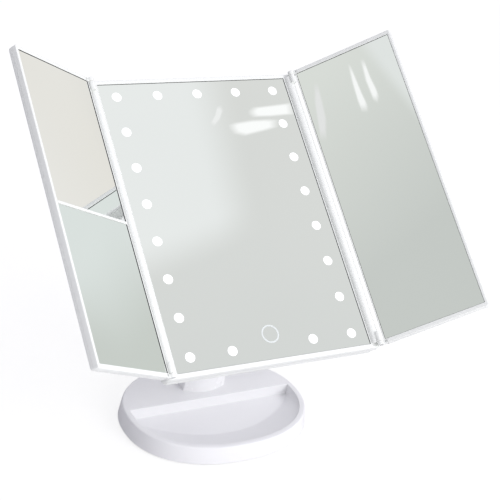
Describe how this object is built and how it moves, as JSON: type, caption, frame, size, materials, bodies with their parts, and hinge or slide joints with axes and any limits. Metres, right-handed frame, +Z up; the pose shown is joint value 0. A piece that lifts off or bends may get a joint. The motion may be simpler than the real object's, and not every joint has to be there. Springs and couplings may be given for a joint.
{
  "type": "trifold vanity mirror",
  "caption": "Tri-fold lighted table mirror with two folding side panels, a tilting centre panel with ring lights and touch spot, and an oval tray base.",
  "frame": {"origin": "middle of the oval base, on the surface that the rubber pads stand on", "axes": "+X to the viewer's right, along the tilt axis; +Y to the back, from the tray to the neck; +Z up"},
  "size_m": [0.3146, 0.239, 0.2987],
  "materials": {
    "base_plastic": "gloss",
    "plate_plastic": "satin",
    "weight_steel": "rough",
    "foot_rubber": "matte",
    "screw_steel": "satin",
    "neck_plastic": "gloss",
    "eye_metal": "satin",
    "washer_fibre": "matte",
    "bolt_chrome": "polished",
    "frame_plastic": "gloss",
    "mirror_glass": "polished",
    "tape_foam": "matte",
    "window_frost": "frosted",
    "board_white": "satin",
    "chip_resin": "gloss",
    "contact_brass": "satin",
    "board_green": "satin",
    "part_black": "satin",
    "socket_steel": "satin",
    "tray_plastic": "satin",
    "cell_case": "satin",
    "spring_steel": "polished",
    "cap_plastic": "gloss",
    "washer_nylon": "satin",
    "wire_sleeve": "satin",
    "knob_black": "satin",
    "cover_plastic": "gloss",
    "pad_foam": "matte",
    "pin_steel": "polished"
  },
  "bodies": {
    "stand": {"base_shell": "base_plastic", "base_plate": "plate_plastic", "ballast": "weight_steel", "feet": "foot_rubber", "base_screws": "screw_steel", "neck_front": "neck_plastic", "neck_rear": "neck_plastic", "neck_screws": "screw_steel", "anchor_screws": "screw_steel", "pivot_eye": "eye_metal", "friction_washers": "washer_fibre", "pivot_bolt": "bolt_chrome", "spring_washers": "bolt_chrome", "pivot_nut": "bolt_chrome"},
    "head": {"center_frame": "frame_plastic", "center_mirror": "mirror_glass", "mirror_tape": "tape_foam", "led_windows": "window_frost", "touch_ring": "window_frost", "led_board": "board_white", "led_chips": "chip_resin", "touch_pad": "contact_brass", "control_board": "board_green", "board_parts": "part_black", "board_screws": "screw_steel", "usb_socket": "socket_steel", "switch_body": "socket_steel", "battery_tray": "tray_plastic", "battery_cells": "cell_case", "battery_springs": "spring_steel", "battery_plates": "spring_steel", "back_shell": "cover_plastic", "shell_screws": "screw_steel", "pivot_bracket": "eye_metal", "bracket_screws": "screw_steel", "pivot_caps": "cap_plastic", "hinge_washers": "washer_nylon", "lead_wires": "wire_sleeve"},
    "battery_door": {"battery_door": "cover_plastic"},
    "switch_knob": {"switch_knob": "knob_black"},
    "left_wing": {"left_frame": "frame_plastic", "left_cover": "cover_plastic", "upper_magnifier": "mirror_glass", "lower_magnifier": "mirror_glass", "left_pads": "pad_foam", "left_pins": "pin_steel"},
    "right_wing": {"right_frame": "frame_plastic", "right_cover": "cover_plastic", "right_mirror": "mirror_glass", "right_pad": "pad_foam", "right_pins": "pin_steel"}
  },
  "joints": [
    {"name": "head_tilt", "type": "hinge", "parent": "stand", "child": "head", "pos_m": [0, 0.0337, 0.1565], "axis": [-1, 0, 0], "range_deg": [-53.8, 36.2]},
    {"name": "left_wing_fold", "type": "hinge", "parent": "head", "child": "left_wing", "pos_m": [-0.0872, 0.01669, 0.17974], "axis": [0, 0.807, 0.5906], "range_deg": [-34.9, 145.1]},
    {"name": "right_wing_fold", "type": "hinge", "parent": "head", "child": "right_wing", "pos_m": [0.0872, 0.01669, 0.17974], "axis": [0, -0.807, -0.5906], "range_deg": [-44.4, 135.6]},
    {"name": "battery_door_slide", "type": "slide", "parent": "head", "child": "battery_door", "axis": [0, 0.807, 0.5906], "range_m": [0, 0.016]},
    {"name": "power_switch", "type": "slide", "parent": "head", "child": "switch_knob", "axis": [1, 0, 0], "range_m": [0, 0.003]}
  ]
}
